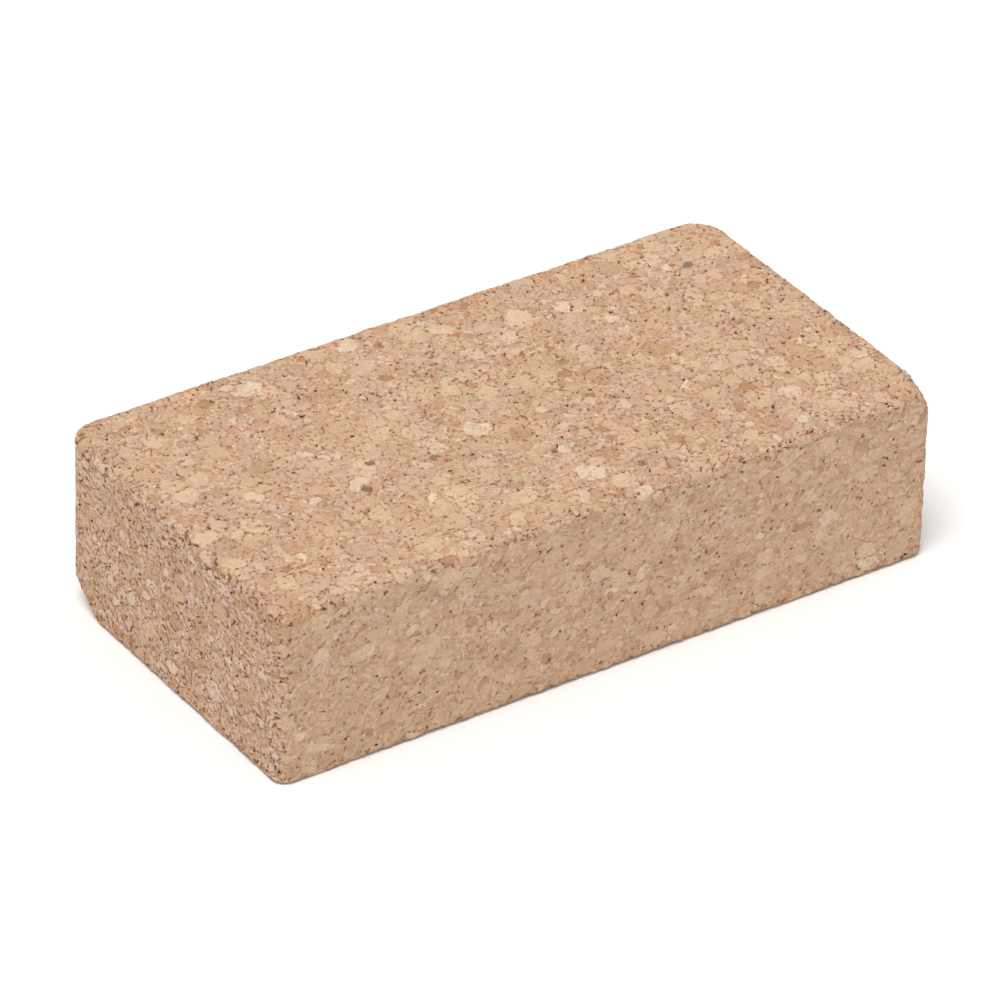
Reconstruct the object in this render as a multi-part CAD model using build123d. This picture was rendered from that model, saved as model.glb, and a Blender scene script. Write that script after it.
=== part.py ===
"""Cork sanding block: one solid block of composition cork that abrasive paper is wrapped round.

Frame: +X along the block's length, +Y across its width, +Z up through its thickness.
The origin is the middle of the sole, the large flat face that the block rests on.
Lengths are in millimetres.
"""

import os

from build123d import *

# Driving dimensions.
LENGTH = 120.0
WIDTH = 62.0
THICKNESS = 30.0

# The upright corners. The two at the front, -Y, are crisper than the two at the back.
FRONT_CORNER_RADIUS = 2.4
BACK_CORNER_RADIUS = 5.5

# The edges of the two large faces. The sole stays crisp, so that the paper folds tight round it.
TOP_EDGE_RADIUS = 0.9
SOLE_EDGE_RADIUS = 0.6

# Two corners are knocked blunt: the bottom one at -X, +Y and the top one at +X, -Y.
# The flat left there cuts this far along the block's length, width and thickness.
BOTTOM_BLUNT = Vector(4.6, 10.5, 8.0)
TOP_BLUNT = Vector(5.6, 7.0, 4.2)


def upright_edges(block, y_sign):
    """The two upright edges on one long side."""
    return [edge for edge in block.edges().filter_by(Axis.Z) if edge.center().Y * y_sign > 0]


def rounded_block():
    """The block with its upright corners and the edges of both large faces rounded."""
    block = Box(LENGTH, WIDTH, THICKNESS, align=(Align.CENTER, Align.CENTER, Align.MIN))
    block = fillet(upright_edges(block, -1), FRONT_CORNER_RADIUS)
    block = fillet(upright_edges(block, 1), BACK_CORNER_RADIUS)
    block = fillet(block.faces().sort_by(Axis.Z)[-1].edges(), TOP_EDGE_RADIUS)
    return fillet(block.faces().sort_by(Axis.Z)[0].edges(), SOLE_EDGE_RADIUS)


def corner_wedge(x_sign, y_sign, height, cut):
    """The tetrahedron on one sharp corner that reaches cut's lengths along the corner's edges."""
    corner = Vector(x_sign * LENGTH / 2, y_sign * WIDTH / 2, height)
    inward = 1 if height == 0 else -1
    along_length = corner - Vector(x_sign * cut.X, 0, 0)
    along_width = corner - Vector(0, y_sign * cut.Y, 0)
    upright = corner + Vector(0, 0, inward * cut.Z)
    triangles = [
        (corner, along_length, along_width),
        (corner, along_length, upright),
        (corner, along_width, upright),
        (along_length, along_width, upright),
    ]
    faces = [Face(Wire.make_polygon(points, close=True)) for points in triangles]
    return Solid(Shell(faces))


def cork_block():
    """The whole block: rounded, with two opposite corners knocked blunt."""
    block = rounded_block() - corner_wedge(-1, 1, 0, BOTTOM_BLUNT)
    return block - corner_wedge(1, -1, THICKNESS, TOP_BLUNT)


os.makedirs("parts", exist_ok=True)
export_step(cork_block(), "parts/cork_block.step")
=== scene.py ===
import math

import bpy
import numpy as np
from mathutils import Matrix, Vector


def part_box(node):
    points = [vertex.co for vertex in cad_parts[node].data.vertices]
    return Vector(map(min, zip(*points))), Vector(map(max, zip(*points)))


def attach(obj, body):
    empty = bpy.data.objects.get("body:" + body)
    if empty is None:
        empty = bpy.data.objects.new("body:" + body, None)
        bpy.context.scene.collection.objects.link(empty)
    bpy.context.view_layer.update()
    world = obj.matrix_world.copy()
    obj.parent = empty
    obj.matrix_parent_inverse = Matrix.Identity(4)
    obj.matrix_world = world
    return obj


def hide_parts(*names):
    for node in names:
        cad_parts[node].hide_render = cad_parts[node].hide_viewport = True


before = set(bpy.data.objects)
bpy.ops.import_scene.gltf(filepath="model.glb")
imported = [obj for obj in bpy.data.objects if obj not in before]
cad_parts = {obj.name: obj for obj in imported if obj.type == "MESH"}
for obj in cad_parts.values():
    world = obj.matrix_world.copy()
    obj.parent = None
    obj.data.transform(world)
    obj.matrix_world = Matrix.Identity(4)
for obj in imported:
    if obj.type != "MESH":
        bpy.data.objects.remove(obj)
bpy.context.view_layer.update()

LOW, HIGH = (np.array(corner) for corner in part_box("cork_block"))

# The grid that the block is re-meshed on, in metres.
GRID = 0.00026

# Pressing has made the granules this much thinner along Z than they are wide.
FLATTENED = 1.4

# Sizes of the granules, crumbs and dust, in millimetres across.
LARGE = 3.9
MIDDLE = 2.0
CRUMB = 1.05
DUST = 0.46

# How much neighbours differ in height, how deep each kind of gap goes, and the slow rise and fall of
# the whole surface, all in millimetres.
CRUMB_STEP = 0.15
GRANULE_STEP = 0.17
LINE_DEPTH = 0.10
PIT_DEPTH = 0.26
CHIP_DEPTH = 0.10
BULGE = 0.35

# The strip beside each edge that is rough, and how fast one face gives way to the next, in metres.
ROUGH_STRIP = 0.0028
FACE_BLEND = 0.0007

# What is kept about where each point lies: how near an edge, and how far on an end or a long side.
PLACES = ("edge", "end", "side")

# The floor is flat this far out, in metres. It rises beyond, more gently the larger FLOOR_EASE is.
FLOOR_FLAT = 2.0
FLOOR_EASE = 20.0


def srgb(red, green, blue):
    """A linear colour from 8-bit screen values."""
    return tuple(((c / 255 + 0.055) / 1.055) ** 2.4 for c in (red, green, blue)) + (1.0,)


TYPICAL_TAN = srgb(212, 177, 147)
CREAM = srgb(229, 197, 162)
# Pale cream flecks: partly pale crumbs, partly painted highlights on the crumbs.
PALE_CRUMB_AND_HIGHLIGHT = srgb(240, 217, 188)
BARK = srgb(124, 100, 86)
SMOOTH_TAN = srgb(202, 168, 140)
LILAC_TAN = srgb(221, 193, 177)
# The binder lines' reddish brown, deepened and made more orange as painted shade and painted bounce light
# in the grooves they lie in.
BINDER_BROWN_AND_GROOVE_SHADE = srgb(170, 100, 36)
# The pits' dark brown: partly the cork's own colour, partly painted shade inside the holes.
PIT_BROWN_AND_SHADE = srgb(98, 42, 6)


class Net:
    """Short ways to add nodes that work the same in a material and in geometry nodes."""

    def __init__(self, tree):
        self.tree = tree

    def node(self, kind, inputs=(), **settings):
        made = self.tree.nodes.new(kind)
        for name, value in settings.items():
            setattr(made, name, value)
        for key, value in dict(inputs).items():
            self.feed(made.inputs[key], value)
        return made

    def feed(self, socket, value):
        if isinstance(value, bpy.types.NodeSocket):
            self.tree.links.new(value, socket)
        elif value is not None:
            socket.default_value = value

    def math(self, operation, a, b=None):
        return self.node("ShaderNodeMath", {0: a, 1: b}, operation=operation).outputs[0]

    def add(self, a, b):
        return self.math("ADD", a, b)

    def sub(self, a, b):
        return self.math("SUBTRACT", a, b)

    def mul(self, a, b):
        return self.math("MULTIPLY", a, b)

    def most(self, a, b):
        return self.math("MAXIMUM", a, b)

    def vector(self, operation, a, b=None):
        return self.node("ShaderNodeVectorMath", {0: a, 1: b}, operation=operation).outputs[0]

    def scaled(self, vector, factor):
        inputs = {0: vector, "Scale": factor}
        return self.node("ShaderNodeVectorMath", inputs, operation="SCALE").outputs[0]

    def combine(self, x, y, z):
        return self.node("ShaderNodeCombineXYZ", {0: x, 1: y, 2: z}).outputs[0]

    def step(self, value, low, high, out_low=0.0, out_high=1.0):
        """A smooth step of value from out_low at low to out_high at high."""
        inputs = {"Value": value, "From Min": low, "From Max": high, "To Min": out_low, "To Max": out_high}
        return self.node("ShaderNodeMapRange", inputs, interpolation_type="SMOOTHSTEP").outputs[0]

    def noise_node(self, vector, scale, detail, roughness):
        inputs = {"Vector": vector, "Scale": scale, "Detail": detail, "Roughness": roughness}
        return self.node("ShaderNodeTexNoise", inputs)

    def noise(self, vector, scale, detail=2.0, roughness=0.5):
        """Noise from 0 to 1."""
        return self.noise_node(vector, scale, detail, roughness).outputs[0]

    def jitter(self, vector, scale, detail, roughness=0.5):
        """A noise vector, with each of its numbers from -0.5 to 0.5."""
        colour = self.noise_node(vector, scale, detail, roughness).outputs["Color"]
        return self.vector("SUBTRACT", colour, (0.5, 0.5, 0.5))

    def voronoi(self, vector, size, feature="F1", randomness=1.0):
        """Cells about size across. Distances come out as a share of size."""
        inputs = {"Vector": vector, "Scale": 1.0 / size, "Randomness": randomness}
        return self.node("ShaderNodeTexVoronoi", inputs, feature=feature).outputs

    def channels(self, colour):
        """The three numbers of a colour or vector."""
        return self.node("ShaderNodeSeparateXYZ", {0: colour}).outputs

    def ramp(self, value, stops):
        made = self.node("ShaderNodeValToRGB", {0: value})
        elements = made.color_ramp.elements
        while len(elements) < len(stops):
            elements.new(1.0)
        for element, (place, colour) in zip(elements, stops):
            element.position = place
            element.color = colour
        return made.outputs[0]

    def mix(self, factor, a, b, blend="MIX"):
        made = self.node("ShaderNodeMix", data_type="RGBA", blend_type=blend)
        self.feed(made.inputs[0], factor)
        self.feed(made.inputs[6], a)
        self.feed(made.inputs[7], b)
        return made.outputs[2]

    def mix_number(self, factor, a, b):
        made = self.node("ShaderNodeMix", data_type="FLOAT")
        self.feed(made.inputs[0], factor)
        self.feed(made.inputs[2], a)
        self.feed(made.inputs[3], b)
        return made.outputs[0]


def granule_space(net, spot):
    """spot, in millimetres, warped for ragged outlines and stretched along Z for flat granules."""
    place = net.vector("ADD", spot, net.scaled(net.jitter(spot, 0.5, 1.0), 1.6))
    place = net.vector("ADD", place, net.scaled(net.jitter(spot, 2.1, 3.0, 0.65), 0.85))
    return net.vector("MULTIPLY", place, (1.0, 1.0, FLATTENED))


def granule_layer(net, place, size, share, reach):
    """Granules about size millimetres across, in share of their cells.

    reach is about how far one spreads from its middle, as a share of size. Returns how far inside a
    granule each point is, in millimetres, and its granule's three random numbers.
    """
    cell = net.voronoi(place, size, randomness=0.9)
    border = net.voronoi(place, size, "DISTANCE_TO_EDGE", 0.9)
    random = net.channels(cell["Color"])
    radius = net.step(random[1], 0.0, 1.0, reach * 0.7, reach * 1.2)
    round_part = net.sub(radius, cell["Distance"])
    flat_part = net.sub(border["Distance"], 0.02)
    inside = net.mul(net.math("MINIMUM", round_part, flat_part), size)
    there = net.math("GREATER_THAN", share, random[2])
    return net.mix_number(there, -1.0, inside), random


def add_lines(net, field):
    """The binder's thin broken lines, with more of them where the ends cut across the granules. They are
    sunk as grooves, and their colour holds painted shade for those grooves.

    Adds the rims of the granules, the lines, and the cracks where a line has opened.
    """
    place = field["place"]
    end = field["end"]
    side = field["side"]
    outline = net.math(
        "MINIMUM", net.math("ABSOLUTE", field["middle_depth"]), net.math("ABSOLUTE", field["large_depth"])
    )
    field["rim"] = net.step(outline, 0.17, 0.02)
    crumb_border = net.mul(net.voronoi(place, CRUMB, "DISTANCE_TO_EDGE")["Distance"], CRUMB)
    crumb_seam = net.mul(net.step(crumb_border, 0.12, 0.01), field["outside"])
    off_middle = net.math("ABSOLUTE", net.sub(net.noise(place, 1.3, 2.0, 0.55), 0.5))
    wander = net.mul(net.step(off_middle, 0.020, 0.004), net.add(0.25, net.mul(end, 0.45)))
    seams = net.most(field["rim"], net.most(net.mul(crumb_seam, 0.8), wander))
    by_face = net.sub(net.mul(end, 0.035), net.mul(side, 0.02))
    breaks = net.add(net.noise(field["spot"], 1.5, 3.0, 0.6), by_face)
    breaks = net.add(breaks, net.mul(field["edge"], 0.055))
    field["line"] = net.mul(seams, net.step(breaks, 0.44, 0.60))
    field["crack"] = net.mul(seams, net.step(breaks, net.add(0.60, net.mul(side, 0.05)), 0.66))


def add_pits(net, field):
    """Small gaps where crumbs are missing, mostly beside the granules, joined with the cracks."""
    dust = net.voronoi(field["place"], DUST)
    field["dust"] = net.channels(dust["Color"])
    shifted = net.vector("ADD", field["spot"], (3.0, 8.0, 1.0))
    patches = net.step(net.noise(shifted, 0.4), 0.42, 0.66)
    chance = net.add(net.mul(field["rim"], 0.15), net.mul(field["outside"], 0.045))
    chance = net.mul(chance, net.add(0.45, net.mul(patches, 1.3)))
    by_face = net.sub(net.mul(field["end"], 0.25), net.mul(field["side"], 0.60))
    chance = net.mul(chance, net.add(1.0, by_face))
    chance = net.mul(chance, net.add(1.0, net.mul(field["edge"], 0.8)))
    missing = net.math("GREATER_THAN", chance, field["dust"][0])
    radius = net.step(field["dust"][1], 0.0, 1.0, 0.36, 0.70)
    pit = net.mul(missing, net.step(net.sub(radius, dust["Distance"]), 0.0, 0.12))
    field["hole"] = net.most(pit, net.mul(field["crack"], 0.85))


def cork(net, rest, places):
    """The cork at each point: everything that both its shape and its colour are made from.

    rest is where the point lay before the surface was raised, and places has its PLACES.
    """
    spot = net.scaled(rest, 1000.0)
    place = granule_space(net, spot)
    shifted = net.vector("ADD", place, (17.3, 5.1, 9.7))
    middle_depth, middle_random = granule_layer(net, place, MIDDLE, share=0.55, reach=0.62)
    large_depth, large_random = granule_layer(net, shifted, LARGE, share=0.42, reach=0.58)
    in_middle = net.step(middle_depth, -0.03, 0.05)
    in_large = net.step(large_depth, -0.03, 0.05)
    field = {
        **places,
        "spot": spot,
        "place": place,
        "crumb": net.channels(net.voronoi(place, CRUMB)["Color"]),
        "middle": middle_random,
        "large": large_random,
        "middle_depth": middle_depth,
        "large_depth": large_depth,
        "in_middle": in_middle,
        "in_large": in_large,
        "outside": net.sub(1.0, net.most(in_middle, in_large)),
    }
    add_lines(net, field)
    add_pits(net, field)
    return field


def height(net, field):
    """How far the surface stands out, in millimetres."""
    edge = field["edge"]
    crumbs = net.mul(net.sub(field["crumb"][2], 0.5), CRUMB_STEP)
    middles = net.mul(net.sub(field["middle"][0], 0.4), GRANULE_STEP)
    larges = net.mul(net.sub(field["large"][0], 0.4), GRANULE_STEP)
    level = net.mix_number(field["in_middle"], crumbs, middles)
    level = net.mix_number(field["in_large"], level, larges)
    level = net.mul(level, net.sub(net.add(net.mul(edge, 0.4), 0.95), net.mul(field["side"], 0.35)))
    cut = net.add(net.mul(field["line"], LINE_DEPTH), net.mul(field["hole"], PIT_DEPTH))
    chips = net.mul(net.mul(net.step(field["crumb"][1], 0.68, 0.72), edge), CHIP_DEPTH)
    bulge = net.mul(net.sub(net.noise(field["spot"], 0.10), 0.5), BULGE)
    return net.sub(net.add(level, bulge), net.add(cut, chips))


def store(mesh, name, kind, field, values):
    """Keeps one value, or one vector, for each of the mesh's points."""
    layer = mesh.attributes.new(name, kind, "POINT")
    layer.data.foreach_set(field, np.ascontiguousarray(values, dtype=np.float32).ravel())


def store_places(mesh):
    """Keeps each point's place before the surface is raised, and its PLACES."""
    points = np.empty(len(mesh.vertices) * 3)
    mesh.vertices.foreach_get("co", points)
    points = points.reshape(-1, 3)
    gaps = np.minimum(points - LOW, HIGH - points)
    second_gap = np.sort(gaps, axis=1)[:, 1]
    closeness = np.exp(-gaps / FACE_BLEND)
    closeness /= closeness.sum(axis=1, keepdims=True)
    store(mesh, "rest", "FLOAT_VECTOR", "vector", points)
    store(mesh, "edge", "FLOAT", "value", np.clip(1 - second_gap / ROUGH_STRIP, 0, 1) ** 1.2)
    store(mesh, "end", "FLOAT", "value", closeness[:, 0])
    store(mesh, "side", "FLOAT", "value", closeness[:, 1])


def apply_modifiers(block, **options):
    """Gives the block the mesh that its modifiers make, and takes them away."""
    graph = bpy.context.evaluated_depsgraph_get()
    mesh = bpy.data.meshes.new_from_object(block.evaluated_get(graph), depsgraph=graph, **options)
    block.modifiers.clear()
    block.data = mesh
    return mesh


def dense_block():
    """The CAD block re-meshed as small even squares."""
    source = bpy.data.objects["cork_block"]
    mesh = source.data.copy()
    mesh.transform(source.matrix_world)
    block = bpy.data.objects.new("cork", mesh)
    bpy.context.scene.collection.objects.link(block)
    remesh = block.modifiers.new("even", "REMESH")
    remesh.mode = "VOXEL"
    remesh.voxel_size = GRID
    soften = block.modifiers.new("soften", "SMOOTH")
    soften.factor = 0.5
    soften.iterations = 8
    even = apply_modifiers(block)
    even.materials.clear()
    store_places(even)
    return block


def attribute(net, name, kind="FLOAT"):
    """A named attribute in geometry nodes."""
    made = net.node("GeometryNodeInputNamedAttribute", data_type=kind)
    made.inputs["Name"].default_value = name
    return made.outputs["Attribute"]


def raise_granules(block):
    """Moves the block's surface in and out as the cork's height says."""
    tree = bpy.data.node_groups.new("raise granules", "GeometryNodeTree")
    tree.interface.new_socket("Geometry", in_out="INPUT", socket_type="NodeSocketGeometry")
    tree.interface.new_socket("Geometry", in_out="OUTPUT", socket_type="NodeSocketGeometry")
    net = Net(tree)
    rest = attribute(net, "rest", "FLOAT_VECTOR")
    places = {name: attribute(net, name) for name in PLACES}
    lift = net.mul(height(net, cork(net, rest, places)), 0.001)
    normal = net.node("GeometryNodeInputNormal").outputs[0]
    source = net.node("NodeGroupInput").outputs[0]
    inputs = {"Geometry": source, "Offset": net.scaled(normal, lift)}
    moved = net.node("GeometryNodeSetPosition", inputs)
    net.node("NodeGroupOutput", {0: moved.outputs[0]})
    block.modifiers.new("raise granules", "NODES").node_group = tree
    apply_modifiers(block, preserve_all_data_layers=True).shade_smooth()


def granule_colour(net, random, contrast):
    """One colour for each granule: mostly mid tan, some cream or brown, tinted pink, yellow or grey."""
    tan = net.ramp(random[0], [
        (0.00, srgb(186, 141, 105)),
        (0.10, srgb(203, 162, 128)),
        (0.35, srgb(211, 175, 145)),
        (0.70, srgb(218, 186, 155)),
        (0.93, srgb(224, 195, 165)),
        (1.00, srgb(238, 215, 187)),
    ])
    tint = net.ramp(random[1], [
        (0.00, (0.98, 0.88, 0.87, 1)),
        (0.30, (1.00, 0.96, 0.96, 1)),
        (0.60, (1.00, 1.00, 1.00, 1)),
        (0.88, (1.00, 0.99, 0.95, 1)),
        (0.91, (0.95, 0.95, 0.98, 1)),
        (1.00, (0.88, 0.88, 0.94, 1)),
    ])
    return net.mix(contrast, TYPICAL_TAN, net.mix(1.0, tan, tint, "MULTIPLY"))


def layered_colour(net, field):
    """Each granule's and crumb's colour, with the larger granules over the smaller. The pale flecks among
    the crumbs are partly pale crumbs and partly painted highlights.
    """
    crumbs = net.mix(
        0.5, granule_colour(net, field["crumb"], 1.1), granule_colour(net, field["dust"], 1.3)
    )
    # Pale flecks among the crumbs, partly pale crumbs and partly painted highlights.
    pale = net.math("GREATER_THAN", field["dust"][2], 0.93)
    crumbs = net.mix(net.mul(pale, 0.6), crumbs, PALE_CRUMB_AND_HIGHLIGHT)
    colour = net.mix(field["in_middle"], crumbs, granule_colour(net, field["middle"], 0.95))
    larges = net.mix(0.3, granule_colour(net, field["large"], 0.9), CREAM)
    colour = net.mix(field["in_large"], colour, larges)
    bark = net.mul(net.math("GREATER_THAN", 0.005, field["middle"][1]), field["in_middle"])
    return net.mix(net.mul(bark, 0.8), colour, BARK)


def fibre_shade(net, field):
    """How light the fibres and mottling make each point. On the long sides the fibres slant."""
    place = field["place"]
    side = field["side"]
    along = net.channels(field["spot"])[0]
    slant = net.scaled(net.combine(0.0, 0.0, along), -0.5)
    slanted = net.vector("MULTIPLY", net.vector("ADD", place, slant), (0.5, 1.0, 1.6))
    fibre = net.mix_number(
        net.mul(side, 0.8), net.noise(place, 3.6, 4.0, 0.8), net.noise(slanted, 1.9, 4.0, 0.8)
    )
    depth = net.add(0.17, net.add(net.mul(field["end"], 0.10), net.mul(side, 0.11)))
    shade = net.step(fibre, 0.30, 0.70, net.sub(0.99, depth), 1.13)
    shade = net.mul(shade, net.step(net.noise(place, 1.0, 3.0, 0.6), 0.35, 0.65, 0.93, 1.05))
    return net.mul(shade, net.step(net.noise(field["spot"], 0.16), 0.35, 0.65, 0.96, 1.04))


def cork_colour(net, field):
    """The colour of each granule and crumb, with the dark lines and gaps between them. The darkness of the
    lines and gaps is partly their own brown and partly painted shade.
    """
    end = field["end"]
    side = field["side"]
    shade = fibre_shade(net, field)
    colour = net.mix(1.0, layered_colour(net, field), net.combine(shade, shade, shade), "MULTIPLY")
    smooth = net.mix(net.mul(side, 0.18), colour, SMOOTH_TAN)
    which = net.mix_number(field["in_middle"], field["crumb"][0], field["middle"][0])
    which = net.mix_number(field["in_large"], which, field["large"][0])
    lilac = net.mul(end, net.step(which, 0.5, 0.8, 0.10, 0.62))
    tinted = net.mix(lilac, smooth, LILAC_TAN)
    strength = net.add(0.62, net.sub(net.mul(end, 0.18), net.mul(side, 0.15)))
    # The lines take the binder brown, which is partly painted groove shade and bounce light.
    lined = net.mix(net.mul(field["line"], strength), tinted, BINDER_BROWN_AND_GROOVE_SHADE)
    # Pits and opened cracks painted dark brown, partly their own colour and partly painted shade in the
    # holes.
    return net.mix(net.mul(field["hole"], 0.92), lined, PIT_BROWN_AND_SHADE)


def cork_material():
    material = bpy.data.materials.new("composition cork")
    material.use_nodes = True
    material.node_tree.nodes.clear()
    net = Net(material.node_tree)
    rest = net.node("ShaderNodeAttribute", attribute_name="rest").outputs["Vector"]
    places = {
        name: net.node("ShaderNodeAttribute", attribute_name=name).outputs["Fac"] for name in PLACES
    }
    field = cork(net, rest, places)
    grain = net.noise(field["place"], 4.5, 4.0, 0.65)
    relief = net.sub(grain, net.add(net.mul(field["line"], 0.3), net.mul(field["hole"], 0.4)))
    bump = net.node("ShaderNodeBump", {"Strength": 1.0, "Distance": 0.0002, "Height": relief})
    shader = net.node("ShaderNodeBsdfPrincipled")
    net.feed(shader.inputs["Base Color"], cork_colour(net, field))
    net.feed(shader.inputs["Roughness"], net.step(grain, 0.3, 0.7, 0.78, 0.95))
    net.feed(shader.inputs["Normal"], bump.outputs[0])
    shader.inputs["Specular IOR Level"].default_value = 0.25
    output = net.node("ShaderNodeOutputMaterial")
    net.feed(output.inputs["Surface"], shader.outputs[0])
    return material


def add_floor():
    """A pale floor, flat round the block. It rises gently further off, so a low view shows no horizon."""
    cells = 70
    bpy.ops.mesh.primitive_grid_add(
        x_subdivisions=cells, y_subdivisions=cells, size=14.0, location=(0, 0, LOW[2] - 0.0002)
    )
    floor = bpy.context.object
    floor.name = "floor"
    for point in floor.data.vertices:
        past_flat = max(0.0, point.co.xy.length - FLOOR_FLAT)
        point.co.z = past_flat ** 2 / FLOOR_EASE
    floor.data.shade_smooth()
    material = bpy.data.materials.new("pale floor")
    material.use_nodes = True
    shader = material.node_tree.nodes["Principled BSDF"]
    shader.inputs["Base Color"].default_value = (0.9, 0.9, 0.9, 1)
    shader.inputs["Roughness"].default_value = 0.9
    floor.data.materials.append(material)


def add_light(name, place, spread, power, colour):
    """A broad, distant soft light that shines from place's direction. spread is its width in degrees."""
    data = bpy.data.lights.new(name, "SUN")
    data.angle = math.radians(spread)
    data.energy = power
    data.color = colour
    light = bpy.data.objects.new(name, data)
    bpy.context.scene.collection.objects.link(light)
    light.location = place
    light.rotation_euler = (-Vector(place)).to_track_quat("-Z", "Y").to_euler()


def add_world():
    world = bpy.data.worlds.new("studio")
    world.use_nodes = True
    background = world.node_tree.nodes["Background"]
    background.inputs["Color"].default_value = (1, 1, 1, 1)
    background.inputs["Strength"].default_value = 0.65
    bpy.context.scene.world = world


def add_camera():
    """A long lens that looks down on the block from its front left."""
    azimuth = math.radians(-34.8)
    elevation = math.radians(33.1)
    roll = math.radians(1.53)
    flat = math.cos(elevation)
    back = Vector((math.sin(azimuth) * flat, -math.cos(azimuth) * flat, math.sin(elevation)))
    level = Vector((math.cos(azimuth), math.sin(azimuth), 0))
    upright = back.cross(level)
    right = level * math.cos(roll) + upright * math.sin(roll)
    up = upright * math.cos(roll) - level * math.sin(roll)
    data = bpy.data.cameras.new("camera")
    data.lens = 288.0
    data.sensor_width = 36.0
    data.clip_start = 0.05
    data.clip_end = 20.0
    camera = bpy.data.objects.new("camera", data)
    bpy.context.scene.collection.objects.link(camera)
    distance = 1.2348
    aside = 0.00013
    drop = 0.00184
    middle = Vector((0, 0, 0.01565))
    place = back * distance + right * aside - up * drop + middle
    turn = Matrix((right, up, back)).transposed().to_4x4()
    camera.matrix_world = Matrix.Translation(place) @ turn
    bpy.context.scene.camera = camera


block = dense_block()
raise_granules(block)
block.data.materials.append(cork_material())
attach(block, "root")
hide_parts("cork_block")

add_floor()
add_world()
add_light("key", (-0.44, -0.25, 1.36), 30, 2.09, (1.0, 0.98, 0.96))
bpy.context.scene.view_settings.view_transform = "Standard"
add_camera()
